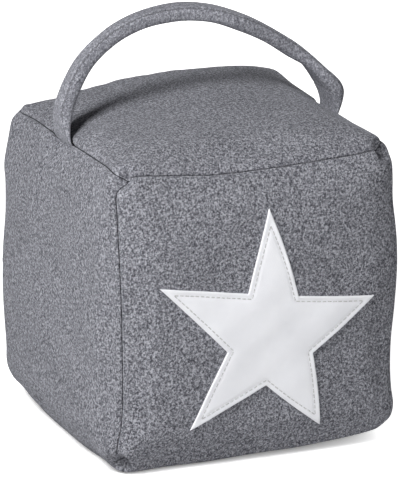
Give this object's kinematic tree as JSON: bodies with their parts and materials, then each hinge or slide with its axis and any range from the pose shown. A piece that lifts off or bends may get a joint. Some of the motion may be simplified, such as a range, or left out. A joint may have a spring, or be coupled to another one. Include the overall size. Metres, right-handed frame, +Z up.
{
  "type": "weighted fabric door stop",
  "caption": "Soft felt cube with a heavy filling that holds a door open, with a strap handle over the top and a sewn star on the front.",
  "frame": {"origin": "middle of the footprint, on the surface that the door stop stands on", "axes": "+Z up, -Y towards the front with the star, +X to the right seen from the front"},
  "size_m": [0.1755, 0.1821, 0.2301],
  "materials": {
    "grey_felt": "mottled mid-grey wool felt, matt, with a short nap",
    "handle_felt": "the same grey felt, folded and topstitched into a strap",
    "white_leatherette": "smooth white leatherette with a fine satin grain",
    "filling_cloth": "plain natural cotton bag, hidden inside"
  },
  "bodies": {
    "root": {"front_panel": "grey_felt", "back_panel": "grey_felt", "left_panel": "grey_felt", "right_panel": "grey_felt", "top_panel": "grey_felt", "base_panel": "grey_felt", "weighted_filling": "filling_cloth", "carry_handle": "handle_felt", "star_applique": "white_leatherette"}
  },
  "joints": []
}
